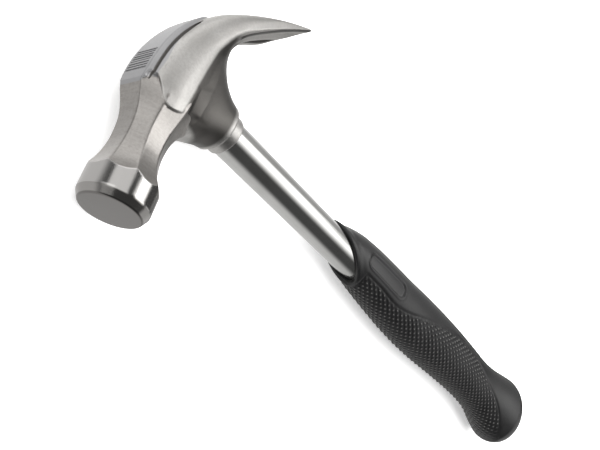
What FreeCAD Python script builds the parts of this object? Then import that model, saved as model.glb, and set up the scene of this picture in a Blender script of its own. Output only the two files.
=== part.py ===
import FreeCAD, Part
import os
import math
import Sketcher

# A claw hammer with a tubular steel shaft, lying on its side.
# +X runs up the shaft to the crown, +Y towards the striking face, +Z out of the upper cheek.
# Outlines are drawn about the point where the shaft's axis meets the strike axis, and every
# sub-part's Placement then moves that point above the middle of the object's base.

DIMENSIONS = {
    # head, along the shaft and along the strike axis
    "crown_top": 15.9, "crown_front": 12.6, "crown_half": 6.4, "crown_rise": 4.0, "crown_flare": 1.0,
    "crown_flat": 4.6,
    "claw_bend": 57.5, "bend_end": -36.9, "claw_sag": 1.8, "claw_tip_x": -41.2, "claw_tip_y": -61.9,
    "strike_x": 1.5, "face_y": 54.0, "face_radius": 11.1, "bell_radius": 12.8, "bell_front": 51.0,
    "bell_back": 43.2, "bell_root": 41.0, "bell_root_radius": 10.6, "neck_half": 8.5,
    "slot_root": -22.5, "slot_root_half": 0.9, "slot_tip_half": 6.4,
    "groove_count": 8, "groove_pitch": 1.25, "groove_width": 0.55, "groove_depth": 0.45,
    "groove_first": 6.6, "groove_near_end": 5.0,
    "socket_end": -30.4, "collar_top": -24.8, "collar_radius": 8.35,
    # shaft and what it holds
    "tube_radius": 7.5, "tube_wall": 1.6, "tube_top": 4.0, "tube_end": -290.0, "glue_gap": 0.2,
    "bore_top": 5.0, "plug_length": 46.0, "plug_bevel": 1.0,
    "cap_flange": 2.0, "cap_spigot": 14.0, "cap_wall": 2.0, "glue_end": 0.8, "cut_margin": 4.0,
    # grip
    "mouth_x": -115.0, "mouth_slope": 1.47, "mouth_length": 80.0, "mouth_width": 160.0, "mouth_height": 60.0,
    "butt_x": -315.5, "heel_x": -301.0, "heel_y": 1.9, "heel_depth": 20.2, "heel_half": 16.2,
    "heel_rounding": 0.72, "butt_inset": 0.86, "butt_widening": 1.5,
}

doc = FreeCAD.newDocument("claw_hammer")
sheet = doc.addObject("Spreadsheet::Sheet", "dims")
for row, (name, number) in enumerate(DIMENSIONS.items(), start=1):
    sheet.set(f"A{row}", name)
    sheet.set(f"B{row}", str(number))
    sheet.setAlias(f"B{row}", name)
doc.recompute()


def value(text):
    """The number that an expression on the sheet's cells gives."""
    return float(sheet.evalExpression(text))


def d(name):
    """One cell of the sheet, as an expression."""
    return f"dims.{name}"


# ---------------------------------------------------------------- helpers for bodies and sketches

def add_body(label):
    body = doc.addObject("PartDesign::Body", label)
    body.Label = label
    return body


def add_sketch(body, name, role, lift="0"):
    """An empty sketch on one of the body's origin planes, lifted along the plane's normal."""
    sketch = body.newObject("Sketcher::SketchObject", name)
    plane = [item for item in body.Origin.OriginFeatures if item.Role == role][0]
    sketch.AttachmentSupport = (plane, "")
    sketch.MapMode = "FlatFace"
    sketch.setExpression("AttachmentOffset.Base.z", lift)
    return sketch


def fix_point(sketch, curve, end, place):
    """Holds one end of a curve at the place that two expressions give."""
    for kind, text in zip(("DistanceX", "DistanceY"), place):
        number = value(text)
        name = f"{kind}_{curve}_{end}"
        if number < 0:
            pull = Sketcher.Constraint(kind, curve, end, -1, 1, -number)
            text = f"-({text})"
        else:
            pull = Sketcher.Constraint(kind, -1, 1, curve, end, number)
        index = sketch.addConstraint(pull)
        sketch.renameConstraint(index, name)
        sketch.setExpression(f"Constraints.{name}", text)


def draw_outline(sketch, corners):
    """A closed outline of straight lines through corners, each a pair of expressions."""
    points = [FreeCAD.Vector(value(u), value(v), 0) for u, v in corners]
    first = sketch.GeometryCount
    count = len(points)
    for i, point in enumerate(points):
        sketch.addGeometry(Part.LineSegment(point, points[(i + 1) % count]))
    for i in range(count):
        sketch.addConstraint(Sketcher.Constraint("Coincident", first + i, 2, first + (i + 1) % count, 1))
        fix_point(sketch, first + i, 1, corners[i])


def draw_circle(sketch, radius):
    """A circle about the sketch's origin."""
    index = sketch.addGeometry(Part.Circle(FreeCAD.Vector(), FreeCAD.Vector(0, 0, 1), value(radius)))
    sketch.addConstraint(Sketcher.Constraint("Coincident", index, 3, -1, 1))
    limit = sketch.addConstraint(Sketcher.Constraint("Radius", index, value(radius)))
    sketch.renameConstraint(limit, f"radius_{index}")
    sketch.setExpression(f"Constraints.radius_{index}", radius)


def add_loft(body, name, sketches):
    loft = body.newObject("PartDesign::AdditiveLoft", name)
    loft.Profile = sketches[0]
    loft.Sections = sketches[1:]
    body.Tip = loft
    return loft


def add_turning(body, name, sketch, axis):
    """A full turn of a half outline about one of its sketch's own axes."""
    turning = body.newObject("PartDesign::Revolution", name)
    turning.Profile = sketch
    turning.ReferenceAxis = (sketch, [axis])
    turning.Angle = 360
    body.Tip = turning
    return turning


def add_pad(body, name, sketch, length, midplane=False):
    pad = body.newObject("PartDesign::Pad", name)
    pad.Profile = sketch
    pad.setExpression("Length", length)
    pad.Midplane = midplane
    body.Tip = pad
    return pad


def add_pocket(body, name, sketch, length, midplane=False, backwards=False):
    pocket = body.newObject("PartDesign::Pocket", name)
    pocket.Profile = sketch
    pocket.setExpression("Length", length)
    pocket.Midplane = midplane
    pocket.Reversed = backwards
    body.Tip = pocket
    return pocket


# ---------------------------------------------------------------- hammer_head

def claw_top(y):
    """Expression for the height of the head's upper curve at y: an arc, then a nearly straight run."""
    arc_start = f"({d('crown_front')} - {d('crown_flat')})"
    bend_end = value(d("bend_end"))
    if y >= value(arc_start):
        return d("crown_top")
    reach = f"({arc_start} - ({max(y, bend_end)}))"
    arc = f"{d('crown_top')} - {d('claw_bend')} + sqrt({d('claw_bend')}^2 - {reach}^2)"
    if y >= bend_end:
        return arc
    share = f"(({bend_end} - ({y})) / ({bend_end} - {d('claw_tip_y')}))"
    droop = f"(({arc}) - {d('claw_tip_x')})"
    return f"{arc} - {droop} * {share} + {d('claw_sag')} * {share} * (1 - {share}) * 4"


# Sections of the cheeks and claws across the strike axis. Each gives the station along Y, the drop
# of the shoulder's top below the upper curve, the half width there, the shoulder's drop, the half
# width of the cheek, and the heights of the cheek's lower edge and of the underside with its half
# width. Drops and widths taper towards the claws' tips.
CHEEK_SECTIONS = [
    # station, top drop, top half, shoulder drop, cheek half, cheek bottom, underside, under half
    (16.0, 7.6, 8.6, 9.0, 10.2, -1.0, -6.6, 6.4),
    (13.4, 4.6, 7.4, 8.2, 11.0, -1.4, -9.6, 6.4),
    (7.0, 2.8, 7.4, 8.2, 11.3, -2.3, -12.0, 7.4),
    (-6.0, 2.6, 7.4, 8.2, 11.5, -3.4, -14.0, 7.0),
    (-17.0, 2.1, 7.4, 7.0, 11.4, -5.0, -13.4, 5.6),
    (-27.0, 1.1, 7.8, 4.4, 11.3, -9.8, -12.8, 5.6),
    (-38.0, 0.2, 9.2, 2.2, 11.5, -18.0, -21.0, 6.4),
    (-44.0, 0.1, 9.6, 1.6, 11.5, -23.4, -26.4, 7.2),
    (-50.0, 0.1, 9.9, 1.0, 11.4, -29.2, -31.8, 8.0),
    (-55.0, 0.1, 10.2, 0.8, 11.1, -34.4, -36.2, 8.8),
    (-59.0, 0.1, 10.2, 0.6, 10.8, -39.0, -39.8, 9.4),
    (-61.9, 0.0, 10.1, 0.4, 10.6, -41.9, -42.1, 10.0),
]


def cheek_outline(station, top_drop, top_half, shoulder_drop, half, bottom, under, under_half):
    """Eight corners of one section, down one cheek and up the other."""
    top = claw_top(station)
    side = [(f"{top} - {top_drop}", f"{top_half}"), (f"{top} - {shoulder_drop}", f"{half}"),
            (f"{bottom}", f"{half}"), (f"{under}", f"{under_half}")]
    return side + [(u, f"-({v})") for u, v in reversed(side)]


def octagon(centre, apothem):
    """Corners of a regular octagon with two sides level, about a centre on the shaft's axis."""
    corner = f"({apothem} * tan(22.5 deg))"
    near = [(apothem, corner), (corner, apothem), (f"-({corner})", apothem), (f"-({apothem})", corner)]
    ring = near + [(u, f"-({v})") for u, v in reversed(near)]
    return [(f"{centre} + {u}", v) for u, v in ring]


# The crown's raised pad: station along Y and the share of its full half width there.
CROWN_SECTIONS = [("crown_front", 1.0), (8.0, 1.0), (0.0, 1.0), (-10.0, 0.94), (-20.0, 0.86), (-29.0, 0.72)]
# The neck's octagons: station along Y, lift of the centre, share of the neck's half width.
NECK_SECTIONS = [
    (8.0, 0.95, 1.46), (13.5, 0.95, 1.32), (18.0, 0.95, 1.2), (23.0, 0.9, 1.06),
    (30.0, 0.6, 1.0), (36.0, 0.4, 1.1), (40.0, 0.1, 1.26), (43.8, 0.0, 1.42),
]
# The socket's ovals under the cheeks: station along X, depth along Y, half width along Z.
SOCKET_SECTIONS = [
    (-3.0, 17.0, 9.6), (-9.0, 15.6, 9.6), (-14.5, 13.4, 9.5), (-19.5, 11.0, 9.2), (-24.8, 9.2, 9.1),
]
SOCKET_SIDES = 16


def make_head():
    body = add_body("hammer_head")

    sections = []
    for i, (station, *sizes) in enumerate(CHEEK_SECTIONS):
        sketch = add_sketch(body, f"cheek_section_{i}", "XZ_Plane", f"-({station})")
        draw_outline(sketch, cheek_outline(station, *sizes))
        sections.append(sketch)
    add_loft(body, "cheeks_and_claws", sections)

    crown = []
    for i, (station, share) in enumerate(CROWN_SECTIONS):
        if isinstance(station, str):
            station = value(d(station))
        top = claw_top(station)
        foot = f"{top} - {d('crown_rise')}"
        wide = f"({d('crown_half')} * {share})"
        flared = f"({wide} + {d('crown_flare')})"
        sketch = add_sketch(body, f"crown_section_{i}", "XZ_Plane", f"-({station})")
        draw_outline(sketch, [(top, wide), (foot, flared), (foot, f"-{flared}"), (top, f"-{wide}")])
        crown.append(sketch)
    add_loft(body, "crown", crown)

    neck = []
    for i, (station, lift, width) in enumerate(NECK_SECTIONS):
        sketch = add_sketch(body, f"neck_section_{i}", "XZ_Plane", f"-({station})")
        draw_outline(sketch, octagon(f"({d('strike_x')} + {lift})", f"({d('neck_half')} * {width})"))
        neck.append(sketch)
    add_loft(body, "neck", neck)

    bell = add_sketch(body, "bell_outline", "XY_Plane")
    bell.setExpression("AttachmentOffset.Base.x", d("strike_x"))
    draw_outline(bell, [("0", d("bell_root")), (d("bell_root_radius"), d("bell_root")),
                        (d("bell_radius"), d("bell_back")), (d("bell_radius"), d("bell_front")),
                        (d("face_radius"), d("face_y")), ("0", d("face_y"))])
    add_turning(body, "bell", bell, "V_Axis")

    socket = []
    for i, (station, depth, half) in enumerate(SOCKET_SECTIONS):
        sketch = add_sketch(body, f"socket_section_{i}", "YZ_Plane", f"{station}")
        corners = []
        for side in range(SOCKET_SIDES):
            turn = f"{side * 360 / SOCKET_SIDES} deg"
            corners.append((f"{depth} * cos({turn})", f"{half} * sin({turn})"))
        draw_outline(sketch, corners)
        socket.append(sketch)
    add_loft(body, "socket", socket)

    collar = add_sketch(body, "collar_circle", "YZ_Plane", d("socket_end"))
    draw_circle(collar, d("collar_radius"))
    add_pad(body, "collar", collar, f"{d('collar_top')} - {d('socket_end')} + {d('cut_margin')}")

    bore = add_sketch(body, "bore_circle", "YZ_Plane", f"{d('socket_end')} - {d('cut_margin')}")
    draw_circle(bore, f"{d('tube_radius')} + {d('glue_gap')}")
    add_pocket(body, "bore", bore, f"{d('bore_top')} - {d('socket_end')} + {d('cut_margin')}", backwards=True)

    slot = add_sketch(body, "slot_outline", "YZ_Plane", d("crown_top"))
    beyond = f"({d('claw_tip_y')} - {d('cut_margin')})"
    draw_outline(slot, [(d("slot_root"), d("slot_root_half")), (beyond, d("slot_tip_half")),
                        (beyond, f"-{d('slot_tip_half')}"), (d("slot_root"), f"-{d('slot_root_half')}")])
    add_pocket(body, "nail_slot", slot, f"{d('crown_top')} - {d('claw_tip_x')} + 2 * {d('cut_margin')}")

    far_edge = f"({d('crown_half')} + {d('cut_margin')})"
    groove = add_sketch(body, "groove_outline", "XY_Plane", f"-{far_edge}")
    for i in range(int(value(d("groove_count")))):
        near = f"({d('groove_first')} - {i} * {d('groove_pitch')})"
        far = f"({near} - {d('groove_width')})"
        floor = f"({claw_top(value(near))} - {d('groove_depth')})"
        above = f"({d('crown_top')} + {d('cut_margin')})"
        draw_outline(groove, [(floor, near), (above, near), (above, far), (floor, far)])
    add_pocket(body, "crown_grooves", groove, f"{far_edge} + {d('groove_near_end')}", backwards=True)
    return body


# ---------------------------------------------------------------- shaft and its inner pieces

def make_rod(label, radius, start, length, hollow=None):
    """A round bar or tube along the shaft's axis, from start towards the crown."""
    body = add_body(label)
    ring = add_sketch(body, f"{label}_ring", "YZ_Plane", start)
    draw_circle(ring, radius)
    if hollow:
        draw_circle(ring, hollow)
    add_pad(body, f"{label}_bar", ring, length)
    return body


def make_tube():
    return make_rod("shaft_tube", d("tube_radius"), d("tube_end"), f"{d('tube_top')} - {d('tube_end')}",
                    hollow=f"{d('tube_radius')} - {d('tube_wall')}")


def make_glue():
    start = f"({d('socket_end')} + {d('glue_end')})"
    return make_rod("epoxy_bond", f"{d('tube_radius')} + {d('glue_gap')}", start,
                    f"{d('tube_top')} - {start}", hollow=d("tube_radius"))


def make_shock_plug():
    body = make_rod("shock_plug", f"{d('tube_radius')} - {d('tube_wall')}",
                    f"{d('tube_top')} - {d('plug_length')}", d("plug_length"))
    doc.recompute()
    bar = body.Tip
    edges = enumerate(bar.Shape.Edges, start=1)
    rims = [f"Edge{i}" for i, edge in edges if isinstance(edge.Curve, Part.Circle)]
    bevel = body.newObject("PartDesign::Chamfer", "shock_plug_bevel")
    bevel.Base = (bar, rims)
    bevel.setExpression("Size", d("plug_bevel"))
    body.Tip = bevel
    return body


def make_end_plug():
    """A flanged plastic cup pressed into the butt end of the tube."""
    body = add_body("shaft_end_plug")
    half = add_sketch(body, "end_plug_outline", "XY_Plane")
    inner = f"({d('tube_radius')} - {d('tube_wall')})"
    hollow = f"({inner} - {d('cap_wall')})"
    flange_end = f"({d('tube_end')} - {d('cap_flange')})"
    spigot_end = f"({d('tube_end')} + {d('cap_spigot')})"
    draw_outline(half, [(flange_end, "0"), (flange_end, d("tube_radius")), (d("tube_end"), d("tube_radius")),
                        (d("tube_end"), inner), (spigot_end, inner), (spigot_end, hollow),
                        (d("tube_end"), hollow), (d("tube_end"), "0")])
    add_turning(body, "end_plug", half, "H_Axis")
    return body


# ---------------------------------------------------------------- grip

# Oval sections across the shaft: station, centre along Y, half depth along Y, half width along Z.
GRIP_SECTIONS = [
    ("-94", "0.4", "7.9", "7.8"),
    ("-104", "-0.2", "8.0", "7.9"),
    ("-112", "-1.5", "9.3", "8.7"),
    ("-122", "-2.3", "11.1", "9.6"),
    ("-136", "-1.8", "12.8", "10.8"),
    ("-151", "-1.1", "13.9", "11.5"),
    ("-168", "-0.3", "14.9", "12.1"),
    ("-185", "-0.2", "15.7", "12.7"),
    ("-203", "-0.4", "15.9", "12.9"),
    ("-224", "-0.9", "15.4", "12.5"),
    ("-246", "-0.8", "14.7", "12.0"),
    ("-261", "-0.2", "14.3", "11.7"),
    ("-273", "0.2", "14.9", "12.1"),
    ("-284", "0.9", "16.7", "13.5"),
    ("-293", f"{d('heel_y')} - 0.3", f"{d('heel_depth')} - 1.3", f"{d('heel_half')} - 1.1"),
    (d("heel_x"), d("heel_y"), d("heel_depth"), d("heel_half")),
]
HEEL_TURNS = (30, 55, 75)


def add_oval(name, station, centre, depth, half):
    """An ellipse across the shaft, deeper along Y than it is wide along Z."""
    oval = doc.addObject("Part::Ellipse", name)
    oval.Placement.Rotation = FreeCAD.Rotation(FreeCAD.Vector(0, 1, 0), FreeCAD.Vector(0, 0, 1),
                                               FreeCAD.Vector(1, 0, 0), "XYZ")
    oval.setExpression("MajorRadius", depth)
    oval.setExpression("MinorRadius", half)
    oval.setExpression("Placement.Base.x", station)
    oval.setExpression("Placement.Base.y", centre)
    return oval


def make_grip():
    sections = list(GRIP_SECTIONS)
    bulge = f"({d('heel_x')} - {d('butt_x')})"
    for turn in HEEL_TURNS:
        # the heel closes as a quarter oval, so that its edge is rounded over
        back = f"{d('heel_x')} - {bulge} * sin({turn} deg)"
        inset = f"{bulge} * {d('heel_rounding')} * (1 - cos({turn} deg))"
        sections.append((back, d("heel_y"), f"{d('heel_depth')} - {inset}", f"{d('heel_half')} - {inset}"))
    flat = f"{bulge} * {d('butt_inset')}"
    sections.append((d("butt_x"), d("heel_y"), f"{d('heel_depth')} - {flat}",
                     f"{d('heel_half')} - {flat} + {d('butt_widening')}"))

    outside = doc.addObject("Part::Loft", "grip_outside")
    outside.Sections = [add_oval(f"grip_oval_{i}", *section) for i, section in enumerate(sections)]
    outside.Solid = True

    bore = doc.addObject("Part::Cylinder", "grip_bore")
    bore.Placement.Rotation = FreeCAD.Rotation(FreeCAD.Vector(0, 1, 0), 90)
    depth_end = f"({d('tube_end')} - {d('cap_flange')})"
    bore.setExpression("Radius", d("tube_radius"))
    bore.setExpression("Height", f"-{d('mouth_length')} - {depth_end}")
    bore.setExpression("Placement.Base.x", depth_end)

    # the mouth is cut on a slant: it reaches further up the back of the shaft than up its front
    mouth = doc.addObject("Part::Box", "grip_mouth")
    mouth.setExpression("Length", d("mouth_length"))
    mouth.setExpression("Width", d("mouth_width"))
    mouth.setExpression("Height", d("mouth_height"))
    slant = math.degrees(math.atan(value(d("mouth_slope"))))
    turn = FreeCAD.Rotation(FreeCAD.Vector(0, 0, 1), slant)
    corner = FreeCAD.Vector(0, -value(d("mouth_width")) / 2, -value(d("mouth_height")) / 2)
    mouth.Placement = FreeCAD.Placement(turn.multVec(corner), turn)
    mouth.setExpression("Placement.Base.x", f"{d('mouth_x')} + ({mouth.Placement.Base.x})")

    drilled = doc.addObject("Part::Cut", "grip_drilled")
    drilled.Base = outside
    drilled.Tool = bore
    grip = doc.addObject("Part::Cut", "grip")
    grip.Base = drilled
    grip.Tool = mouth
    grip.Label = "grip"
    return grip


# ---------------------------------------------------------------- assembly

parts = [make_head(), make_tube(), make_shock_plug(), make_glue(), make_end_plug(), make_grip()]
for part in parts:
    part.setExpression("Placement.Base.x", f"-({d('crown_top')} + {d('butt_x')}) / 2")
    part.setExpression("Placement.Base.y", f"-({d('face_y')} + {d('claw_tip_y')}) / 2")
    part.setExpression("Placement.Base.z", d("heel_half"))
doc.recompute()

broken = [item.Name for item in doc.Objects if {"Invalid", "Error"} & set(item.State)]
if broken:
    raise RuntimeError(f"these objects failed to build: {broken}")
for part in parts:
    shape = part.Shape
    if shape.isNull() or not shape.isValid():
        raise RuntimeError(f"{part.Label} has no valid shape")
    box = shape.BoundBox
    print(f"{part.Label}: {len(shape.Solids)} solid, {shape.Volume / 1000:.2f} cm3,"
          f" x {box.XMin:.1f}..{box.XMax:.1f}, y {box.YMin:.1f}..{box.YMax:.1f},"
          f" z {box.ZMin:.1f}..{box.ZMax:.1f}")

os.makedirs("parts", exist_ok=True)
for part in parts:
    part.Shape.exportStep(f"parts/{part.Label}.step")
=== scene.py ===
import math

import bpy
import numpy as np
from mathutils import Matrix, Vector


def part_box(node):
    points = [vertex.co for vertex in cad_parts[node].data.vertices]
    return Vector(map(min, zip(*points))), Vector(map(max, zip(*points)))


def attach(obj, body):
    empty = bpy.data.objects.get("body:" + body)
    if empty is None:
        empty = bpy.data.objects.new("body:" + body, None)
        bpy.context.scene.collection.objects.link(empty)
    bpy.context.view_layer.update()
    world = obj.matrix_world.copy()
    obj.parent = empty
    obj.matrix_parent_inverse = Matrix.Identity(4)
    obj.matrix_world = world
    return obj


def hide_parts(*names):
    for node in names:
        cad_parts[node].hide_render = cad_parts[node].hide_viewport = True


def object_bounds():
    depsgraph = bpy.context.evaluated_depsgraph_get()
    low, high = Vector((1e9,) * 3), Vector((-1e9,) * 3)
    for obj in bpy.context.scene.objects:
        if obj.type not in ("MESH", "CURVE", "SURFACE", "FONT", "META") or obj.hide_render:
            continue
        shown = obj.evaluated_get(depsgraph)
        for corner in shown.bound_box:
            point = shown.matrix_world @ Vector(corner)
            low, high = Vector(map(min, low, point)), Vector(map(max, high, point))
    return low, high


MM = 0.001

# ---------------------------------------------------------------- frame and head-centred coordinates

# The hammer lies on its side. Its shapes are worked out in head-centred millimetres and then moved to
# the row frame: X runs up the shaft's axis to the crown, Y from the claws to the striking face, and Z
# across the cheeks. The origin is on the shaft's axis, TUBE_TOP below the tube's upper end.

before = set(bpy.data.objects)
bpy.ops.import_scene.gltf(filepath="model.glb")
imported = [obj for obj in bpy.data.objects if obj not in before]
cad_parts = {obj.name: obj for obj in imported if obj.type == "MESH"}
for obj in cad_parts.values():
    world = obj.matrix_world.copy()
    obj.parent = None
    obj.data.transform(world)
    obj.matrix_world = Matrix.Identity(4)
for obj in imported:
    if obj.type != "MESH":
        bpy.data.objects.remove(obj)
cad_low, cad_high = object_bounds()

TUBE_TOP = 4.0
tube_low, tube_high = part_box("shaft_tube")
ORIGIN = np.array(
    [
        tube_high.x - TUBE_TOP * MM,
        (tube_low.y + tube_high.y) / 2,
        (tube_low.z + tube_high.z) / 2,
    ]
)


def to_frame(points):
    """Head-centred millimetres to the row frame in metres."""
    return ORIGIN + np.asarray(points, float) * MM


def from_frame(corner):
    """The row frame in metres to head-centred millimetres, rounded to a micron."""
    return np.round((np.array(corner) - ORIGIN) / MM, 3)


TUBE_LOW, TUBE_HIGH = from_frame(tube_low), from_frame(tube_high)
HEAD_LOW, HEAD_HIGH = (from_frame(corner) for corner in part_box("hammer_head"))


# ---------------------------------------------------------------- curves and soft booleans


def curve(at, stations, blur=1.5):
    """The value at each place of at on a line through (place, value) stations, with its corners blurred."""
    place, value = np.array(sorted(stations), float).T
    per_blur, reach = 6, 18  # grid steps in one blur width, and in half the blur's window
    grid = np.arange(place[0] - 5 * blur, place[-1] + 5 * blur, blur / per_blur)
    line = np.interp(grid, place, value)
    first = (value[1] - value[0]) / (place[1] - place[0])
    last = (value[-1] - value[-2]) / (place[-1] - place[-2])
    line += np.minimum(grid - place[0], 0) * first + np.maximum(grid - place[-1], 0) * last
    weight = np.exp(-0.5 * (np.arange(-reach, reach + 1) / per_blur) ** 2)
    padded = np.pad(line, reach, mode="reflect", reflect_type="odd")
    smooth = np.convolve(padded, weight / weight.sum(), "valid")
    return np.interp(at, grid, smooth)


def smooth_max(a, b, radius):
    """The larger of two fields, rounded off where they come within radius of each other."""
    nearness = np.maximum(radius - np.abs(a - b), 0) / radius
    return np.maximum(a, b) + nearness**2 * radius / 4


def smooth_min(a, b, radius):
    """The smaller of two fields, filled in where they come within radius of each other."""
    return -smooth_max(-a, -b, radius)


def beyond(x, z, upper, lower):
    """Distance outside the straight edge from the upper corner to the lower one, in the plane across Y."""
    dx, dz = lower[0] - upper[0], lower[1] - upper[1]
    return ((x - upper[0]) * dz - (z - upper[1]) * dx) / np.hypot(dx, dz)


# ---------------------------------------------------------------- the forged head as one field, in mm

STRIKE_X = 1.5  # X of the strike axis
FACE_Y, FACE_RADIUS = HEAD_HIGH[1], 11.1
BELL_RADIUS, BELL_FRONT = 12.8, 51.0
BELL_BACK = 36.0  # nothing behind this is part of the bell
BELL_RELEASE = 26.0  # behind this the bell's cylinder widens, clear of the neck's thick root
NECK_START = 3.0  # the neck starts here, inside the cheeks
CLAW_BEND, BEND_START, BEND_END = 57.5, 8.0, -36.9  # the arc's radius, and Y of its ends
CLAW_TIP, CLAW_SWELL = (-41.2, HEAD_LOW[1]), 1.8
CROWN_TOP, CROWN_FRONT, CROWN_BACK = 15.9, 12.3, -30.0
CROWN_HALF, CROWN_FOOT, CROWN_RISE, CROWN_DEPTH = 6.4, 7.5, 2.2, 4.2
CROWN_DROP_START, CROWN_DROP = 11.0, 0.3  # where the crown's front starts to slope down, and its slope
CORNER_HALF, CORNER_SLANT = 5.1, 0.42  # the crown's cut front corners
SEAM_RADIUS = 0.46  # the groove along the crown's foot
COLLAR_TOP, COLLAR_END, COLLAR_RADIUS = -24.8, -30.4, 8.35
BORE_RADIUS, BORE_TOP = 7.65, 5.0
SLOT_ROOT, SLOT_ROOT_HALF, SLOT_SPREAD = -22.5, 0.9, 0.1267
LIP_HEIGHT, LIP_SPREAD = 1.9, 0.8  # above the ridge's edge, where the slot starts to flare out, and how fast
GROOVE_FIRST, GROOVE_PITCH, GROOVE_COUNT = 6.6, 1.25, 8
GROOVE_HALF, GROOVE_DEPTH, GROOVE_END = 0.3, 0.4, 5.0  # the grooves stop at GROOVE_END on either side

# the grid that the head is meshed on: its ends along X, Y and Z, just clear of the head, and its steps,
# the finer one across the band of Y that holds the crown's grooves
GRID_X, GRID_Y, GRID_Z = (-43.0, 17.0), (-63.0, 54.6), (-12.93, 12.93)
GRID_STEP, GRID_FINE_STEP, GROOVED_BAND = 0.46, 0.17, (-3.4, 7.7)

# Y, drop to the top's edge, its half width, drop to the shoulder's foot, cheek half width,
# cheek's lower X, underside X, underside half width
CHEEK = [
    (22, 2.4, 7.8, 7.8, 11.2, -1.2, -9.5, 6.4),
    (14, 2.4, 7.8, 7.9, 11.4, -1.4, -10.2, 6.4),
    (5, 2.4, 7.8, 8.0, 11.6, -2.4, -12.5, 7.6),
    (-6, 2.3, 7.7, 8.0, 11.7, -3.4, -14.0, 7.0),
    (-17, 1.9, 7.5, 6.8, 11.5, -5.0, -13.4, 5.6),
    (-27, 1.1, 7.6, 4.4, 11.4, -9.4, -12.2, 6.4),
    (-33, 0.5, 8.6, 3.1, 11.5, -13.5, -14.8, 8.6),
    (-38, 0.2, 9.2, 2.2, 11.5, -17.9, -18.8, 9.2),
    (-44, 0.1, 9.6, 1.6, 11.5, -23.5, -24.3, 9.3),
    (-50, 0.1, 9.9, 1.0, 11.4, -29.3, -30.0, 9.3),
    (-55, 0.1, 10.2, 0.8, 11.1, -34.6, -35.2, 9.4),
    (-59, 0.1, 10.2, 0.7, 10.8, -39.2, -39.9, 9.6),
    (-61.9, 0.1, 10.1, 0.7, 10.6, -42.4, -43.0, 9.8),
]
# Y, then X of the thick ridge along each side of the nail slot
RIDGE = [
    (-20, -11.4), (-27, -12.9), (-32, -15.6), (-37, -19.7), (-40, -22.7), (-44, -26.9),
    (-47.5, -31.1), (-51, -34.4), (-55, -37.5), (-58, -40.0), (-61.9, -43.0),
]
RIDGE_FOOT, RIDGE_HALF, RIDGE_OVERLAP, RIDGE_START = 9.9, 6.4, 2.0, -22
EDGE_RADII = (2.4, 5.5, 2.6)  # rounding at the cheek's top edge, its shoulder's foot and its lower edge
UNDER_RADIUS = 1.6  # rounding at the edge of the underside
FULL_THICKNESS = 14  # the head's thickness at which its edges are fully rounded
# the angle about the strike axis, up from the side, and how far forward the cheek reaches there
CHEEK_FRONT = [
    (-90, 4), (-60, 6), (-35, 10.5), (-20, 13.2), (-7, 14.8), (3, 15.5), (15, 16.0),
    (24, 15.9), (30, 15.4), (34, 14.0), (41, 11.4), (48, 9.0), (56, 6.9), (62, 6.0), (90, 5),
]
# Y, then X and Z of the octagon's four corners from the top round to the bottom
NECK = [
    (4, 13.2, 5.4, 6.6, 9.4, -2.4, 10.2, -9.4, 4.8),
    (7, 14.8, 5.6, 6.7, 9.7, -2.4, 10.6, -9.2, 4.8),
    (9.5, 15.4, 5.5, 6.9, 10.1, -2.3, 11.0, -9.0, 4.7),
    (11.6, 15.6, 5.4, 7.0, 10.4, -2.3, 11.1, -8.9, 4.7),
    (12.5, 15.4, 5.4, 7.0, 10.5, -2.2, 11.0, -8.8, 4.6),
    (14.0, 14.6, 5.2, 6.9, 10.4, -2.1, 10.7, -8.5, 4.5),
    (16.2, 13.5, 4.9, 6.9, 10.0, -2.0, 10.2, -8.2, 4.4),
    (19.6, 12.0, 4.6, 6.7, 9.3, -1.7, 9.5, -7.4, 4.1),
    (23.3, 11.2, 4.2, 6.5, 8.7, -1.4, 8.8, -6.7, 3.8),
    (27.3, 10.9, 4.1, 6.2, 8.5, -1.3, 8.5, -6.4, 3.6),
    (31.4, 10.9, 4.0, 5.8, 8.5, -1.4, 8.5, -6.5, 3.6),
    (35.8, 11.5, 4.1, 5.6, 9.2, -1.9, 9.2, -7.4, 3.9),
    (39, 12.3, 4.4, 5.8, 10.3, -2.7, 10.3, -8.8, 4.3),
    (41.4, 13.1, 4.8, 6.3, 11.6, -3.3, 11.6, -10.1, 4.8),
    (44, 14.6, 5.4, 6.9, 13.1, -3.9, 13.1, -11.6, 5.4),
    (48, 17.4, 6.6, 8.1, 15.9, -5.1, 15.9, -14.4, 6.6),
]
# X of the socket, its depth towards the claws, its depth towards the face, its half width
SOCKET = [
    (2, 24.0, 16.0, 9.2), (-3, 24.0, 16.5, 9.4), (-6, 24.0, 16.0, 9.6), (-9, 24.0, 15.6, 9.6),
    (-12, 20.7, 14.5, 9.5), (-14.6, 16.7, 13.4, 9.4), (-17.2, 13.6, 12.2, 9.3), (-19.5, 11.6, 11.0, 9.2),
    (-21.4, 10.3, 10.2, 9.2), (-24.8, 9.2, 9.2, 9.1), (-30, 9.0, 9.0, 9.0),
]
# Y, then the share of the crown's full width
CROWN_NARROWING = [
    (-36, 0.5), (-29, 0.72), (-20, 0.86), (-10, 0.94), (0, 1.0), (6, 0.98), (9, 0.95), (14, 0.9),
]


def claw_top(y):
    """X of the outer curve of the head from the crown to the claw tips."""
    centre = CROWN_TOP - CLAW_BEND
    arc = centre + np.sqrt(CLAW_BEND**2 - (BEND_START - np.clip(y, BEND_END, BEND_START)) ** 2)
    arc_end = centre + math.sqrt(CLAW_BEND**2 - (BEND_START - BEND_END) ** 2)
    share = np.clip((BEND_END - y) / (BEND_END - CLAW_TIP[1]), 0, 1.1)
    return arc - (arc_end - CLAW_TIP[0]) * share + 4 * CLAW_SWELL * share * (1 - share)


def across(y, table, blur=1.5):
    """The columns of a table of sections at each y."""
    return [curve(y, [(row[0], row[i]) for row in table], blur) for i in range(1, len(table[0]))]


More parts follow.
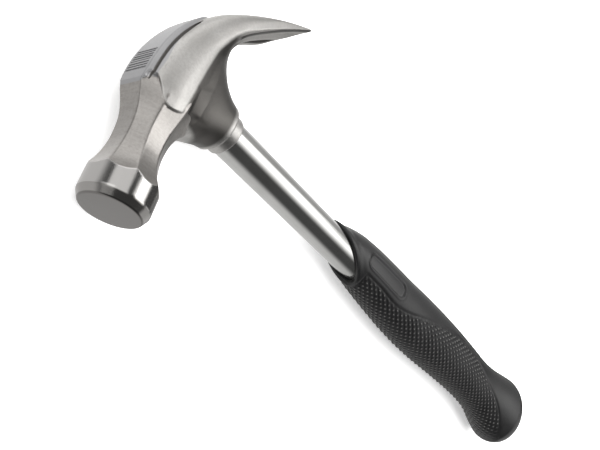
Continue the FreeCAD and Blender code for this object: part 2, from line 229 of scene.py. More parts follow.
def cheek_field(x, y, z, top):
    """Cheeks and claws before the slot is cut, with X of their lower edge and of the slot's ridge."""
    drop, top_half, shoulder, half, low, under, under_half = across(y, CHEEK)
    corners = [(top - drop, top_half), (top - shoulder, half), (low, half), (under, under_half)]
    thin = np.clip(np.maximum(top - under, 0.6) / FULL_THICKNESS, 0.12, 1) ** 2
    field = x - corners[0][0]
    for radius, upper, lower in zip(EDGE_RADII, corners, corners[1:]):
        field = smooth_max(field, beyond(x, z, upper, lower), radius * thin)
    field = smooth_max(field, under - x, UNDER_RADIUS * thin)

    keel = curve(y, RIDGE)
    foot = low + RIDGE_OVERLAP
    ridge = beyond(x, z, (foot, RIDGE_FOOT), (keel, RIDGE_HALF))
    ridge = smooth_max(ridge, keel - x, 0.8)
    ridge = np.maximum(np.maximum(ridge, x - foot), np.maximum(z - RIDGE_FOOT, y - RIDGE_START))
    field = smooth_min(field, ridge, 0.5)

    angle = np.degrees(np.arctan2(x - STRIKE_X, z))
    field = smooth_max(field, y - curve(angle, CHEEK_FRONT, 6), 0.9)
    return smooth_max(field, CLAW_TIP[1] - y, 0.3), low, keel


def poll_field(x, y, z):
    """The octagonal neck with the round bell, then the octagon, the bell and the bell's bevel alone."""
    x1, z1, x2, z2, x3, z3, x4, z4 = across(y, NECK, 1.2)
    ring = [(x1, z1), (x2, z2), (x3, z3), (x4, z4)]
    octagon = x - x1
    for upper, lower in zip(ring, ring[1:]):
        octagon = smooth_max(octagon, beyond(x, z, upper, lower), 0.5)
    octagon = smooth_max(octagon, x4 - x, 0.5)

    outside = np.hypot(x - STRIKE_X, z) - BELL_RADIUS
    slant = (BELL_RADIUS - FACE_RADIUS) / (FACE_Y - BELL_FRONT)
    cone = (outside + (y - BELL_FRONT) * slant) / math.hypot(1, slant)
    barrel = outside - 0.5 * np.clip(BELL_RELEASE - y, 0, 10)
    bell = smooth_max(smooth_max(barrel, cone, 0.35), y - FACE_Y, 0.5)
    poll = smooth_max(smooth_max(octagon, bell, 0.25), NECK_START - y, 0.5)
    return poll, octagon, bell, cone - outside


def crown_field(x, y, z, top):
    """The crown's raised pad, the groove along its foot, whose field also marks where painted shade goes, and
    X of its flat top.
    """
    flat = top - CROWN_DROP * np.maximum(y - CROWN_DROP_START, 0)
    narrow = curve(y, CROWN_NARROWING, 2)
    foot_half = np.minimum(CROWN_FOOT * narrow, CORNER_HALF + (CROWN_FRONT - y) * CORNER_SLANT)
    top_half = np.minimum(CROWN_HALF * narrow, foot_half)
    side = beyond(x, z, (top, top_half), (top - CROWN_RISE, foot_half))
    crown = smooth_max(x - flat, side, 0.6)
    crown = smooth_max(crown, y - CROWN_FRONT, 0.4)
    crown = smooth_max(np.maximum(crown, top - CROWN_DEPTH - x), CROWN_BACK - y, 3)

    fading = np.clip(np.minimum((y - CROWN_BACK) / 8, (CROWN_DROP_START - y) / 3), 0, 1)
    seam_and_painted_shade = SEAM_RADIUS * fading - np.hypot(z - foot_half - 0.2, x - top + CROWN_RISE)
    return crown, seam_and_painted_shade, flat


def socket_field(x, y, z):
    """The socket's tapering oval under the cheeks."""
    back, front, wide = across(x, SOCKET, 1.6)
    deep = np.where(y < 0, back, front)
    oval = ((np.abs(y) / deep) ** 2.2 + (z / wide) ** 2.2) ** (1 / 2.2)
    field = (oval - 1) * np.minimum(deep, wide)
    field = smooth_max(field, COLLAR_TOP - x, 0.8)
    return smooth_max(field, x - 0.5, 3)


def slot_field(x, y, z, keel):
    """The nail slot, which opens towards the tips and flares out towards the underside."""
    spread = SLOT_ROOT_HALF + np.maximum(SLOT_ROOT - y, 0) * SLOT_SPREAD
    lip = np.clip(keel + LIP_HEIGHT - x, 0, 3.5) * LIP_SPREAD * np.clip((SLOT_ROOT - y) / 6, 0, 1)
    lip = lip * np.clip((y + 64) / 14, 0.2, 1)
    return smooth_max(z - spread - lip, y - SLOT_ROOT, 0.9)


def groove_field(x, y, z, flat):
    """The crown's cross grooves."""
    centres = [GROOVE_FIRST - GROOVE_PITCH * i for i in range(GROOVE_COUNT)]
    between = np.min([np.abs(y - centre) for centre in centres], axis=0) - GROOVE_HALF
    far_off = 9.0
    return np.where(z > GROOVE_END, far_off, np.maximum(between, flat - GROOVE_DEPTH - x))


def head_field(x, y, z):
    """Signed distance in mm outside the head's surface, and the masks that tell its regions apart."""
    z = np.abs(z)
    top = claw_top(y)
    cheek, cheek_low, keel = cheek_field(x, y, z, top)
    poll, octagon, bell, bevel = poll_field(x, y, z)
    crown, seam_and_painted_shade, crown_flat = crown_field(x, y, z, top)
    socket = socket_field(x, y, z)
    slot = slot_field(x, y, z, keel)
    round_shaft = np.hypot(y, z)
    collar = smooth_max(round_shaft - COLLAR_RADIUS, COLLAR_END - x, 0.5)

    block = smooth_min(cheek, socket, 2.6)
    foot = smooth_min(poll, socket, 5.5)
    body = smooth_min(block, foot, 0.5 + 2.5 * np.clip((-4 - x) / 5, 0, 1))
    solid = smooth_min(body, crown, 0.4)
    solid = smooth_min(solid, np.maximum(collar, x), 0.3)
    solid = smooth_max(solid, seam_and_painted_shade, 0.3)
    solid = smooth_max(solid, -slot, 0.6)
    solid = smooth_max(solid, -groove_field(x, y, z, crown_flat), 0.12)
    solid = np.maximum(solid, -np.maximum(round_shaft - BORE_RADIUS, x - BORE_TOP))

    # painted shade, where shade falls: along the claws' lower edges, in the slot's walls, and in the recess
    # under the cheeks
    brink = np.minimum(np.minimum(z - 8.8, cheek_low + 0.2 - x), (-29 - y) * 0.3)
    gullet = np.minimum(0.5 - np.abs(slot), x - keel - 0.9)
    under_cheek = np.minimum(cheek_low + 0.8 - x, (y + 28) * 0.3)
    masks = {
        "polish": np.where(y > BELL_BACK, bell - octagon, -2.0),
        "ring": np.where(y > BELL_BACK, bevel, -2.0),
        "face": y - FACE_Y + 0.4,
        "ground": body - crown,
        "facet": block - poll,
        # painted shade in the recess under the cheeks
        "hollow": np.minimum(under_cheek, np.minimum(x + 23.5, 14 - y) * 0.7),
        # painted shade in the groove along the crown's foot; the same field cuts the groove
        "seam_and_painted_shade": seam_and_painted_shade,
        # painted shade along the claws' lower edges and in the slot's walls
        "shade": np.maximum(brink, gullet),
    }
    return solid, masks


# ---------------------------------------------------------------- meshing a field


def grid_lines(low, high, step):
    """Evenly spaced grid lines from low to high, at most a step apart."""
    return np.linspace(low, high, int(math.ceil((high - low) / step)) + 1)


def banded_lines(low, high, step, band, fine_step):
    """Grid lines from low to high, closer together inside the band."""
    before, inside = grid_lines(low, band[0], step), grid_lines(*band, fine_step)
    return np.concatenate([before[:-1], inside[:-1], grid_lines(band[1], high, step)])


def surface_net(field, lines):
    """Vertices and quads of a field's zero surface on a grid, one vertex to each crossed cell."""
    shape = np.array(field.shape) - 1
    total, count = np.zeros((shape.prod(), 3)), np.zeros(shape.prod())
    sheets = []
    inside = field < 0
    for axis in range(3):
        low = tuple(slice(None, -1) if i == axis else slice(None) for i in range(3))
        high = tuple(slice(1, None) if i == axis else slice(None) for i in range(3))
        place = np.array(np.nonzero(inside[low] != inside[high]))
        near, far = field[low][tuple(place)], field[high][tuple(place)]
        share = near / (near - far)
        point = np.stack([lines[i][place[i]] for i in range(3)], 1)
        point[:, axis] += share * (lines[axis][place[axis] + 1] - lines[axis][place[axis]])
        u, v = (axis + 1) % 3, (axis + 2) % 3
        quad = []
        for du, dv in ((0, 0), (1, 0), (1, 1), (0, 1)):
            cell = place.copy()
            cell[u] -= du
            cell[v] -= dv
            flat = np.ravel_multi_index(cell, shape)
            quad.append(flat)
            count += np.bincount(flat, minlength=len(count))
            for i in range(3):
                total[:, i] += np.bincount(flat, point[:, i], len(count))
        quad = np.stack(quad, 1)
        outward = near < 0
        quad[~outward] = quad[~outward][:, ::-1]
        sheets.append(quad)
    used = np.nonzero(count)[0]
    order = np.full(len(count), -1)
    order[used] = np.arange(len(used))
    return total[used] / count[used][:, None], order[np.concatenate(sheets)]


def slope(field, points, reach=0.04):
    """The field's gradient at each point."""
    rise = np.zeros_like(points)
    for axis in range(3):
        shift = np.zeros(3)
        shift[axis] = reach
        ahead, behind = points + shift, points - shift
        rise[:, axis] = (field(*ahead.T)[0] - field(*behind.T)[0]) / (2 * reach)
    return rise


def settle(field, points):
    """Points moved onto the field's zero surface."""
    for _ in range(3):
        value = field(*points.T)[0]
        rise = slope(field, points)
        step = rise * (value / np.maximum((rise**2).sum(1), 0.05))[:, None]
        length = np.linalg.norm(step, axis=1, keepdims=True)
        points = points - step * np.minimum(1, 0.25 / np.maximum(length, 1e-9))
    return points


def new_mesh(name, points, faces, normals=None):
    """A smooth-shaded object from points in head-centred mm."""
    mesh = bpy.data.meshes.new(name)
    mesh.from_pydata(to_frame(points).tolist(), [], faces)
    mesh.validate(clean_customdata=False)
    mesh.shade_smooth()
    if normals is not None and len(mesh.vertices) == len(normals):
        mesh.normals_split_custom_set_from_vertices(normals.tolist())
    piece = bpy.data.objects.new(name, mesh)
    bpy.context.scene.collection.objects.link(piece)
    return piece


def paint(piece, name, values):
    """A number on each vertex, for a material to read."""
    attribute = piece.data.attributes.new(name, "FLOAT", "POINT")
    attribute.data.foreach_set("value", np.asarray(values, np.float32))


def make_head():
    """The forging, with its regions painted on for the steel to read."""
    lines = [
        grid_lines(*GRID_X, GRID_STEP),
        banded_lines(*GRID_Y, GRID_STEP, GROOVED_BAND, GRID_FINE_STEP),
        grid_lines(*GRID_Z, GRID_STEP),
    ]
    field = head_field(*np.meshgrid(*lines, indexing="ij", sparse=True))[0]
    points, faces = surface_net(field, lines)
    points = settle(head_field, points)
    normals = slope(head_field, points)
    normals /= np.linalg.norm(normals, axis=1, keepdims=True)
    piece = new_mesh("head_forging", points, faces.tolist(), normals)
    for name, values in head_field(*points.T)[1].items():
        paint(piece, name, np.clip(values, -3, 3))
    return piece


# ---------------------------------------------------------------- node helpers


class Nodes:
    """A short way to write a node tree."""

    def __init__(self, tree):
        self.tree = tree
        tree.nodes.clear()

    def add(self, kind, **settings):
        """A node. An in_ setting goes to the input of that name or number, any other to the node."""
        node = self.tree.nodes.new(kind)
        for key, value in settings.items():
            if key.startswith("in_"):
                name = key[3:]
                socket = node.inputs[int(name) if name.isdigit() else name.replace("_", " ")]
                self.feed(socket, value)
            else:
                setattr(node, key, value)
        return node

    def feed(self, socket, value):
        """A link into the socket, or a fixed value on it."""
        if isinstance(value, bpy.types.NodeSocket):
            self.tree.links.new(value, socket)
        elif isinstance(value, tuple) and len(value) == 3 and socket.type == "RGBA":
            socket.default_value = (*value, 1.0)
        else:
            socket.default_value = value

    def math(self, operation, a, b):
        """One step of arithmetic on two numbers."""
        return self.add("ShaderNodeMath", operation=operation, in_0=a, in_1=b).outputs[0]

    def ramp(self, factor, low, high, start=0.0, end=1.0):
        """factor from low..high to start..end, eased at both ends."""
        node = self.add(
            "ShaderNodeMapRange", interpolation_type="SMOOTHSTEP",
            in_0=factor, in_1=low, in_2=high, in_3=start, in_4=end,
        )
        return node.outputs[0]

    def mix(self, factor, a, b):
        """Colour a at factor 0 and b at factor 1."""
        return self.add("ShaderNodeMix", data_type="RGBA", in_0=factor, in_6=a, in_7=b).outputs[2]

    def blend(self, factor, a, b):
        """Number a at factor 0 and b at factor 1."""
        return self.add("ShaderNodeMix", data_type="FLOAT", in_0=factor, in_2=a, in_3=b).outputs[0]

    def noise(self, scale, stretch=(1, 1, 1), detail=3.0, roughness=0.6):
        """Noise at a scale per metre in the object's own coordinates."""
        place = self.add("ShaderNodeTexCoord").outputs["Object"]
        mapped = self.add("ShaderNodeMapping", in_Vector=place, in_Scale=stretch).outputs[0]
        node = self.add(
            "ShaderNodeTexNoise", in_Scale=scale, in_Detail=detail, in_Roughness=roughness, in_Vector=mapped
        )
        return node.outputs[0]

    def attribute(self, name):
        """A number painted on the mesh."""
        return self.add("ShaderNodeAttribute", attribute_name=name).outputs["Fac"]

    def bump(self, height, strength, distance, **under):
        """A normal raised by height; under may hold in_Normal, the normal that it is added to."""
        under.update(in_Strength=strength, in_Distance=distance, in_Height=height)
        return self.add("ShaderNodeBump", **under).outputs[0]

    def surface(self, **inputs):
        """The finished shader, with its inputs by name."""
        shader = self.add("ShaderNodeBsdfPrincipled", **{f"in_{key}": value for key, value in inputs.items()})
        out = self.add("ShaderNodeOutputMaterial")
        self.tree.links.new(shader.outputs[0], out.inputs[0])


def material(name):
    """A new material and its node tree's helper."""
    made = bpy.data.materials.new(name)
    made.use_nodes = True
    return made, Nodes(made.node_tree)


# ---------------------------------------------------------------- materials


STEEL = {
    "satin dark": (0.49, 0.48, 0.465),
    "satin light": (0.56, 0.55, 0.535),
    "satin fleck": (0.44, 0.43, 0.415),
    "brushed dark": (0.325, 0.309, 0.295),
    "brushed light": (0.375, 0.360, 0.345),
    "brushed fleck": (0.46, 0.445, 0.43),
    # painted shade for the recess under the cheeks
    "hollow": (0.115, 0.11, 0.104),
    "ground": (0.40, 0.40, 0.41),
    # painted shade in the groove along the crown's foot
    "seam_and_painted_shade": (0.085, 0.081, 0.076),
    "polished": (0.50, 0.49, 0.48),
    "bevel": (0.36, 0.35, 0.34),
    "face": (0.195, 0.188, 0.182),
    # painted shade on the claws' lower edges and in the slot's walls
    "shade": (0.07, 0.067, 0.063),
}


def steel_material():
    """Forged steel: satin cheeks, brushed neck, ground crown, polished bell, and painted shade under the
    cheeks, in the crown's foot groove, on the claws' lower edges and in the slot.
    """
    made, n = material("forged_steel")
    polish = n.ramp(n.attribute("polish"), -0.04, 0.04)
    ground = n.ramp(n.attribute("ground"), -0.05, 0.05)
    facet = n.ramp(n.attribute("facet"), -0.05, 0.05)
    cloud = n.noise(90, detail=4.0)
    grain = n.noise(2600, detail=3.0)
    scratch = n.noise(260, stretch=(1, 14, 1), detail=4.0, roughness=0.75)
    coarse = n.ramp(n.noise(120, stretch=(1, 10, 1), detail=5.0, roughness=0.8), 0.42, 0.6)
    fleck = n.ramp(n.noise(1100, detail=3.0, roughness=0.7), 0.38, 0.62)

    satin = n.mix(n.ramp(cloud, 0.3, 0.7), STEEL["satin dark"], STEEL["satin light"])
    satin = n.mix(n.math("MULTIPLY", fleck, 0.5), satin, STEEL["satin fleck"])
    brushed = n.mix(coarse, STEEL["brushed dark"], STEEL["brushed light"])
    brushed = n.mix(n.math("MULTIPLY", fleck, 0.35), brushed, STEEL["brushed fleck"])
    # painted shade: darker under the cheeks
    colour = n.mix(n.ramp(n.attribute("hollow"), -0.7, 0.7), satin, STEEL["hollow"])
    colour = n.mix(facet, colour, brushed)
    colour = n.mix(ground, colour, STEEL["ground"])
    # painted shade: darker in the groove along the crown's foot
    colour = n.mix(n.ramp(n.attribute("seam_and_painted_shade"), -0.35, 0.0), colour, STEEL["seam_and_painted_shade"])
    colour = n.mix(polish, colour, STEEL["polished"])
    colour = n.mix(n.ramp(n.attribute("ring"), -0.05, 0.05), colour, STEEL["bevel"])
    colour = n.mix(n.ramp(n.attribute("face"), -0.3, 0.1), colour, STEEL["face"])
    # painted shade: darker on the claws' lower edges and in the slot's walls
    colour = n.mix(n.ramp(n.attribute("shade"), -0.3, 0.3), colour, STEEL["shade"])

    rough = n.blend(facet, n.ramp(cloud, 0.25, 0.75, 0.34, 0.41), n.ramp(coarse, 0, 1, 0.28, 0.33))
    rough = n.blend(ground, rough, n.ramp(grain, 0.3, 0.7, 0.36, 0.46))
    rough = n.blend(polish, rough, n.ramp(cloud, 0.3, 0.7, 0.12, 0.17))
    scratched = n.math("MULTIPLY", scratch, n.math("SUBTRACT", 1.0, polish))
    marks = n.bump(scratched, 0.18, 0.0002, in_Normal=n.bump(grain, 0.10, 0.0002))
    n.surface(Base_Color=colour, Metallic=1.0, Roughness=rough, Normal=marks)
    return made


def chrome_material():
    """Bright chrome with faint streaks along the tube."""
    made, n = material("chromed_tube")
    streak = n.noise(240, stretch=(0.06, 1, 1), detail=3.0)
    cloud = n.noise(60, detail=3.0)
    colour = n.mix(n.ramp(cloud, 0.3, 0.7), (0.53, 0.53, 0.52), (0.58, 0.58, 0.57))
    rough = n.ramp(streak, 0.3, 0.7, 0.15, 0.2)
    marks = n.bump(n.noise(3000, detail=2.0), 0.03, 0.0001)
    n.surface(Base_Color=colour, Metallic=1.0, Roughness=rough, Normal=marks)
    return made


def rubber_material():
    """Black rubber, paler on the raised pattern as a painted highlight, and duller between."""
    made, n = material("grip_rubber")
    cloud = n.noise(70, detail=4.0)
    grain = n.noise(1800, detail=3.0)
    raised = n.ramp(n.attribute("raised"), 0.45, 0.95)
    valley = n.math("MULTIPLY", n.attribute("patterned"), n.math("SUBTRACT", 1.0, raised))
    colour = n.mix(n.ramp(cloud, 0.3, 0.7), (0.006, 0.006, 0.0063), (0.010, 0.010, 0.0103))
    # painted highlight: the raised diamonds are coloured paler
    colour = n.mix(raised, colour, (0.15, 0.147, 0.142))
    rough = n.math("ADD", n.ramp(cloud, 0.3, 0.7, 0.34, 0.41), n.ramp(grain, 0.3, 0.7, -0.03, 0.03))
    shine = n.ramp(valley, 0.0, 1.0, 0.46, 0.26)
    marks = n.bump(grain, 0.15, 0.00015)
    n.surface(Base_Color=colour, Roughness=rough, Specular_IOR_Level=shine, Normal=marks)
    return made


def plain_material(name, dark, light, scale, rough, stretch=(1, 1, 1)):
    """A two-tone grained material for the pieces inside; rough holds its least and most roughness."""
    made, n = material(name)
    grain = n.noise(scale, stretch=stretch, detail=5.0)
    n.surface(
        Base_Color=n.mix(n.ramp(grain, 0.35, 0.65), dark, light),
        Roughness=n.ramp(grain, 0.3, 0.7, *rough),
        Normal=n.bump(grain, 0.2, 0.0003),
    )
    return made


# ---------------------------------------------------------------- the shaft tube

TUBE_END, TUBE_RADIUS = TUBE_LOW[0], TUBE_HIGH[1]
TUBE_WALL, TUBE_CHAMFER = 1.6, 0.4


def ring_faces(rows, around, closed=False):
    """Quads between rows of points, wound to face outwards for rows that run towards -X."""
    row = np.arange(rows if closed else rows - 1)[:, None]
    col = np.arange(around)[None, :]
    below, beside = (row + 1) % rows, (col + 1) % around
    quads = [below * around + col, below * around + beside, row * around + beside, row * around + col]
    return np.stack([np.broadcast_to(quad, (len(row), around)) for quad in quads], -1).reshape(-1, 4).tolist()


def make_tube():
    """The tube turned about its axis, with chamfered ends and an open bore."""
    around = 160
    inner = TUBE_RADIUS - TUBE_WALL
    wide_inner, narrow_outer = inner + TUBE_CHAMFER, TUBE_RADIUS - TUBE_CHAMFER
    length = np.linspace(TUBE_TOP - TUBE_CHAMFER, TUBE_END + TUBE_CHAMFER, 60)
    outline = [(TUBE_TOP, wide_inner), (TUBE_TOP, narrow_outer)]
    outline += [(x, TUBE_RADIUS) for x in length]
    outline += [(TUBE_END, narrow_outer), (TUBE_END, wide_inner)]
    outline += [(x, inner) for x in length[::-1]]
    turn = np.linspace(0, 2 * math.pi, around, endpoint=False)
    points = [(x, r * math.cos(a), r * math.sin(a)) for x, r in outline for a in turn]
    return new_mesh("tube_chromed", np.array(points), ring_faces(len(outline), around, closed=True))


# ---------------------------------------------------------------- the rubber grip

# X, then the oval's centre in Y, its half depth in Y and its half width in Z
GRIP = [
    (-94, 0.4, 7.9, 7.8), (-104, -0.2, 8.0, 7.9), (-112, -1.5, 9.3, 8.7), (-122, -2.3, 11.1, 9.6),
    (-136, -1.8, 12.8, 10.8), (-151, -1.1, 13.9, 11.5), (-168, -0.3, 14.9, 12.1), (-185, -0.2, 15.7, 12.7),
    (-203, -0.4, 15.9, 12.9), (-224, -0.9, 15.4, 12.5), (-246, -0.8, 14.7, 12.0), (-261, -0.2, 14.3, 11.7),
    (-273, 0.2, 14.9, 12.1), (-284, 0.9, 16.7, 13.5), (-293, 1.6, 18.9, 15.1), (-301, 1.9, 20.2, 16.2),
]
HEEL_X, HEEL_CENTRE, HEEL_DEEP, HEEL_WIDE = GRIP[-1]
HEEL_BULGE, HEEL_INSET = 14.5, 10.44  # how far the heel's rounding reaches along X, and inwards
MOUTH_X, MOUTH_SLOPE = -115.0, 1.47
GRIP_BORE, BORE_END = 7.52, -291.0
# X, and the azimuth from +Y up to which the raised pattern reaches there
PATTERN = [
    (-126, 53), (-141, 57), (-155, 54), (-165, 63), (-181, 83), (-202, 101), (-222, 112),
    (-243, 110), (-262, 88), (-277, 70), (-291, 42), (-302, 18),
]
PATTERN_START, PATTERN_END, PATTERN_FADE, PATTERN_HEIGHT = -129.0, -303.0, 14.0, 0.62
PATTERN_ALONG, PATTERN_ROUND, PATTERN_RADIUS = 0.23, 0.35, 14.2  # cycles per mm, and the radius they hold at
PATTERN_SINK, BORDER_DEPTH, BORDER_HALF = 0.3, 0.42, 0.5
LABEL_X, LABEL_BEARING = (-159.0, -125.0), (73.0, 106.0)  # the panel's ends, and its sides in degrees
LABEL_INSET_X, LABEL_INSET_ROUND, LABEL_CORNER = 5.0, 2.5, 3.6
LABEL_DEPTH, LABEL_RIM = 0.65, 0.24
MOUTH_LIP, MOUTH_GUTTER, MOUTH_EDGE = 0.14, 0.08, 0.25  # heights at the grip's slanted mouth


def oval_points(x, turn):
    """Y and Z on the grip's plain oval, a turn in radians from +Y."""
    centre, deep, wide = across(x, GRIP, 3.0)
    return centre + deep * np.cos(turn), wide * np.sin(turn)


def bump_at(distance, half):
    """A smooth bump of height 1 where distance is 0."""
    return np.exp(-((distance / half) ** 2))


def pattern_relief(x, bearing, radius):
    """Height of the raised diamonds, their sunk ground and its border groove, how raised and where."""
    edge = np.radians(curve(x, PATTERN, 3.0) - bearing) * radius
    start = PATTERN_START - x - 2.0 * np.clip(1 - bearing / 60, 0, 1)
    inside = smooth_min(edge, start, 1.5)
    within = np.clip(inside / 0.9, 0, 1)
    length = PATTERN_ALONG * x
    sweep = PATTERN_ROUND * PATTERN_RADIUS * np.radians(bearing)
    diamonds = np.cos(math.pi * (length + sweep)) ** 2 * np.cos(math.pi * (length - sweep)) ** 2
    fade = within * np.clip((x - PATTERN_END) / PATTERN_FADE, 0, 1)
    raised = diamonds**1.4 * fade
    border = bump_at(inside + 0.1, BORDER_HALF)
    return PATTERN_HEIGHT * raised - PATTERN_SINK * within - BORDER_DEPTH * border, raised, fade


def label_relief(x, bearing, radius):
    """Height of the blank recessed panel and its raised rim."""
    low, high = LABEL_BEARING
    past_end = np.maximum(LABEL_X[0] - x, x - LABEL_X[1]) + LABEL_INSET_X
    past_side = np.radians(np.abs(bearing - (low + high) / 2) - (high - low) / 2) * radius + LABEL_INSET_ROUND
    panel = np.hypot(np.maximum(past_end, 0), np.maximum(past_side, 0) * 1.6)
    panel = panel + np.minimum(np.maximum(past_end, past_side), 0) - LABEL_CORNER
    return LABEL_RIM * bump_at(panel - 0.9, 0.45) - LABEL_DEPTH * np.clip(0.5 - panel / 0.7, 0, 1)


def make_grip():
    """The moulded grip: bore, slanted mouth, relief outside, rounded heel and flat butt."""
    rows, around = 400, 192
    turn = np.linspace(-math.pi, math.pi, around, endpoint=False)
    turn = turn + 0.22 * np.sin(turn)  # closer columns on the patterned side
    mouth = np.full(around, MOUTH_X)
    for _ in range(40):  # the slanted mouth's X and the oval's Y there depend on each other
        mouth = 0.7 * mouth + 0.3 * (MOUTH_X - MOUTH_SLOPE * oval_points(mouth, turn)[0])

    x = mouth + (HEEL_X - mouth) * np.linspace(0, 1, rows)[:, None]
    y, z = oval_points(x, turn)
    plain = np.stack([x, y, z], -1)
    beside = np.roll(plain, -1, 1) - np.roll(plain, 1, 1)
    normal = np.cross(np.gradient(plain, axis=0), beside)  # this order makes it point outwards
    normal /= np.linalg.norm(normal, axis=-1, keepdims=True)
    bearing, radius, from_mouth = np.degrees(np.abs(turn)), np.hypot(y, z), (mouth - x) * 0.6
    height, raised, patterned = pattern_relief(x, bearing, radius)
    height += label_relief(x, bearing, radius)
    height += MOUTH_LIP * bump_at(from_mouth - 0.9, 0.85)
    height -= MOUTH_GUTTER * bump_at(from_mouth - 3.2, 1.0)
    height[0] = MOUTH_EDGE
    outer = plain + normal * height[..., None]

    def oval(place, deep, wide):
        """A ring of points across the shaft's axis."""
        return np.stack([place + 0 * turn, deep * np.cos(turn), wide * np.sin(turn)], -1)

    centre = np.array([0, HEEL_CENTRE, 0])
    heel = []
    for bend in np.radians(np.arange(4, 91, 4.3)):
        place = HEEL_X - HEEL_BULGE * math.sin(bend)
        shrink = HEEL_INSET * (1 - math.cos(bend))
        heel.append(centre + oval(place, HEEL_DEEP - shrink, HEEL_WIDE - shrink))
    butt = []
    for share in (0.8, 0.55, 0.28, 0.04):
        ring = centre + (heel[-1] - centre) * (0, share, share)
        ring[:, 0] = HEEL_X - HEEL_BULGE
        butt.append(ring)

    lip = mouth + 0.35
    bore = []
    for share in (0, 0.03, 0.1, 0.3, 0.6, 1):
        bore.append(oval(lip + (BORE_END - lip) * share, GRIP_BORE, GRIP_BORE))
    bore.append(oval(BORE_END, 0.04 * GRIP_BORE, 0.04 * GRIP_BORE))

    rings = np.concatenate([bore[::-1], outer, heel, butt])
    last = (len(rings) - 1) * around
    ends = [list(range(around)), list(range(last + around - 1, last - 1, -1))]
    piece = new_mesh("grip_moulded", rings.reshape(-1, 3), ring_faces(len(rings), around) + ends)
    for name, field in (("raised", raised), ("patterned", patterned)):
        value = np.zeros(rings.shape[:2])
        value[len(bore) : len(bore) + rows] = field
        paint(piece, name, value.ravel())
    return piece


# ---------------------------------------------------------------- build the object

for made, node, slot, finish in (
    (make_head(), "hammer_head", "forged_steel", steel_material()),
    (make_tube(), "shaft_tube", "chromed_tube", chrome_material()),
    (make_grip(), "grip", "grip_rubber", rubber_material()),
):
    made.data.materials.append(finish)
    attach(made, "root")
    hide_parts(node)

PLUG_WOOD = ((0.32, 0.18, 0.08), (0.55, 0.36, 0.19))
ADHESIVE = ((0.50, 0.36, 0.12), (0.62, 0.47, 0.20))
CAP_PLASTIC = ((0.02, 0.02, 0.022), (0.045, 0.045, 0.05))

for name, slot, finish in (
    ("shock_plug", "plug_wood", plain_material("plug_wood", *PLUG_WOOD, 160, (0.55, 0.7), (0.12, 1, 1))),
    ("epoxy_bond", "adhesive", plain_material("adhesive", *ADHESIVE, 500, (0.25, 0.35))),
    ("shaft_end_plug", "cap_plastic", plain_material("cap_plastic", *CAP_PLASTIC, 900, (0.4, 0.5))),
):
    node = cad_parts[name]
    node.data.materials.clear()
    node.data.materials.append(finish)

# ---------------------------------------------------------------- floor and backdrop

FLOOR_RADIUS, WALL_BEND, WALL_HEIGHT = 8.0, 1.5, 6.0  # metres
FLOOR_GAP = 0.0002  # the floor lies this far below the hammer, in metres
PAPER, PAPER_GLOW = (0.93, 0.93, 0.93), 0.5


def paper_material():
    """Plain pale paper that glows a little, so that shadows on it stay light."""
    made, n = material("floor_paper")
    tint = n.mix(n.ramp(n.noise(3, detail=2.0), 0.2, 0.8), PAPER, tuple(part * 0.985 for part in PAPER))
    n.surface(Base_Color=tint, Roughness=0.9, Emission_Color=tint, Emission_Strength=PAPER_GLOW)
    return made


def turned_sheet(name, profile, finish, closed=False):
    """A stage sheet turned about the vertical from (radius, height) points in metres."""
    around = 64
    turn = np.linspace(0, 2 * math.pi, around, endpoint=False)
    points = [(r * math.cos(a), r * math.sin(a), height) for r, height in profile for a in turn]
    faces = ring_faces(len(profile), around)
    if closed:
        faces.append(list(range(around)))
    mesh = bpy.data.meshes.new(name)
    mesh.from_pydata(points, [], faces)
    mesh.shade_smooth()
    mesh.materials.append(finish)
    sheet = bpy.data.objects.new(name, mesh)
    sheet.location.z = cad_low.z - FLOOR_GAP
    bpy.context.scene.collection.objects.link(sheet)
    return sheet


def make_stage():
    """A flat floor, and a pale wall that curves up from its edge and is seen by the camera only."""
    paper = paper_material()
    flat = [(radius, 0.0) for radius in (0.1, 0.4, 1.2, 3.0, FLOOR_RADIUS)]
    floor = turned_sheet("floor", flat, paper, closed=True)
    floor.visible_glossy = False

    bend = [math.radians(turn) for turn in range(0, 91, 9)]
    wall = [(FLOOR_RADIUS + WALL_BEND * math.sin(t), WALL_BEND * (1 - math.cos(t))) for t in bend]
    wall.append((FLOOR_RADIUS + WALL_BEND, WALL_HEIGHT))
    backdrop = turned_sheet("backdrop", wall, paper)
    backdrop.visible_glossy = False
    backdrop.visible_diffuse = False
    backdrop.visible_shadow = False


make_stage()

# ---------------------------------------------------------------- studio light


def soft_box(n, direction, start, end, soft, back, front, soft_back, soft_front, lean=0.0):
    """1 inside a box of light and 0 outside. It runs from start to end in radians over the object, from
    the +X horizon, and from back to front along Y. With a lean its end comes sooner far back."""
    over, y = direction
    rise = n.ramp(over, start - soft, start + soft)
    behind = n.math("MINIMUM", n.math("ADD", y, 0.46), 0.0)
    leaning = n.math("ADD", over, n.math("MULTIPLY", behind, lean))
    fall = n.ramp(leaning, end - soft, end + soft, 1.0, 0.0)
    near = n.ramp(y, back - soft_back, back + soft_back)
    far = n.ramp(y, front - soft_front, front + soft_front, 1.0, 0.0)
    return n.math("MULTIPLY", n.math("MULTIPLY", rise, fall), n.math("MULTIPLY", near, far))


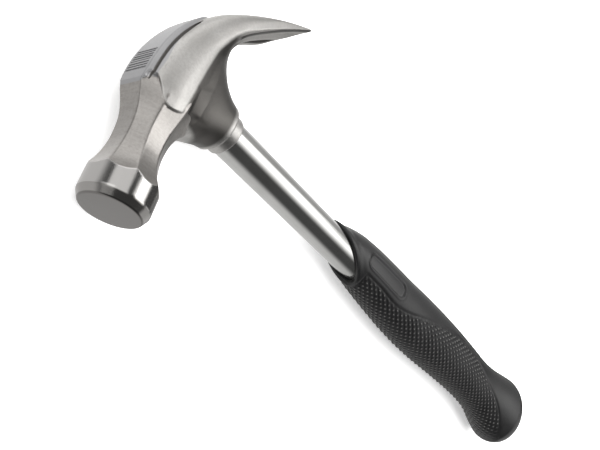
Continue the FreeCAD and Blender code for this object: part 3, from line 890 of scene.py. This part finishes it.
def make_studio():
    """Large soft boxes over the object, dark gaps between them, and paler fill from the sides and below."""
    world = bpy.data.worlds.new("studio")
    world.use_nodes = True
    bpy.context.scene.world = world
    n = Nodes(world.node_tree)
    split = n.add("ShaderNodeSeparateXYZ", in_0=n.add("ShaderNodeTexCoord").outputs["Generated"])
    x, y, z = split.outputs
    place = (n.math("ARCTAN2", z, x), y)
    open_side = n.ramp(x, -0.90, -0.66, 0.15, 1.0)
    behind_claws = n.math("MULTIPLY", n.ramp(y, -0.62, -0.46, 1.0, 0.0), open_side)
    from_below = n.math("MULTIPLY", n.ramp(z, -0.36, 0.16, 1.0, 0.0), open_side)
    past_heel = n.math("MULTIPLY", n.ramp(x, -0.92, -0.80, 1.0, 0.0), n.ramp(y, -0.4, -0.12))
    low_box = soft_box(n, place, 0.34, 1.40, 0.05, -1.2, 0.28, 0.06, 0.06)
    lower_box = soft_box(n, place, 0.06, 0.75, 0.06, -0.32, 0.60, 0.06, 0.06)
    high_box = soft_box(n, place, 1.84, 2.44, 0.06, -0.54, 0.08, 0.08, 0.34, lean=1.25)
    middle_box = soft_box(n, place, 1.70, 2.10, 0.06, -0.80, -0.22, 0.08, 0.12)
    glow = 0.085
    for shape, strength in (
        (low_box, 0.9), (lower_box, 0.5), (high_box, 2.5), (middle_box, 0.9),
        (past_heel, 0.6), (behind_claws, 0.42), (from_below, 0.72),
    ):
        glow = n.math("ADD", n.math("MULTIPLY", shape, strength), glow)
    background = n.add("ShaderNodeBackground", in_Strength=glow, in_Color=(1.0, 0.995, 0.985, 1.0))
    out = n.add("ShaderNodeOutputWorld")
    n.tree.links.new(background.outputs[0], out.inputs[0])


def make_ceiling_lamp():
    """A broad lamp that lights the floor and isn't mirrored in the metal."""
    data = bpy.data.lights.new("ceiling", "AREA")
    data.shape = "RECTANGLE"
    data.size, data.size_y = 2.4, 2.0
    data.energy = 55
    lamp = bpy.data.objects.new("ceiling", data)
    lamp.location = (0, 0, 1.4)
    lamp.visible_glossy = False
    bpy.context.scene.collection.objects.link(lamp)


make_studio()
make_ceiling_lamp()

# ---------------------------------------------------------------- camera

# the camera's place in head-centred mm, and the row frame's directions of the picture's right and down
CAMERA_AT = (130.5, 149.1, 199.6)
CAMERA_RIGHT = Vector((-0.5377, -0.2917, 0.7910))
CAMERA_DOWN = Vector((-0.5254, 0.8497, -0.0438))
LENS, SENSOR = 46.86, 36.0


def make_camera():
    """The camera, where the photo's was."""
    data = bpy.data.cameras.new("camera")
    data.lens = LENS
    data.sensor_width = SENSOR
    data.clip_start, data.clip_end = 0.01, 50
    camera = bpy.data.objects.new("camera", data)
    bpy.context.scene.collection.objects.link(camera)
    up = -CAMERA_DOWN
    turn = Matrix((CAMERA_RIGHT, up, CAMERA_RIGHT.cross(up))).transposed().to_4x4()
    camera.matrix_world = Matrix.Translation(Vector(to_frame(CAMERA_AT))) @ turn
    bpy.context.scene.camera = camera


make_camera()
bpy.context.scene.view_settings.view_transform = "Standard"
